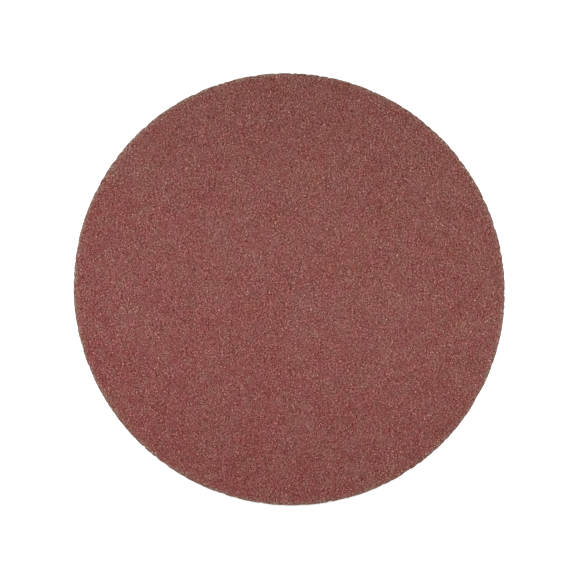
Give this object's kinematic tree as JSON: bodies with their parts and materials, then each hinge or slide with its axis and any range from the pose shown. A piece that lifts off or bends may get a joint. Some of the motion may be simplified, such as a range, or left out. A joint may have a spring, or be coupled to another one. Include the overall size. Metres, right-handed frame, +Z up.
{
  "type": "hook and loop sanding disc",
  "caption": "Plain round abrasive disc without dust holes: coarse red-brown grain bonded to heavy paper, with a knitted loop fabric on the back for a hook-faced sander pad.",
  "frame": {"origin": "centre of the loop face, on the plane of the loop tips that the disc lies on", "axes": "+Z up out of the abrasive face; the rows of loops run along Y; the disc is round, so X and Y are free"},
  "size_m": [0.125, 0.125, 0.0015],
  "materials": {
    "abrasive_grain": "red-brown fused alumina grain in cured resin, matt with small glints",
    "paper": "dense brown kraft paper, matt, seen only at its cut edge",
    "loop_fabric": "off-white knitted nylon with brushed loops, soft sheen"
  },
  "bodies": {
    "root": {"loop_fabric": "loop_fabric", "backing_paper": "paper", "abrasive_coat": "abrasive_grain"}
  },
  "joints": []
}
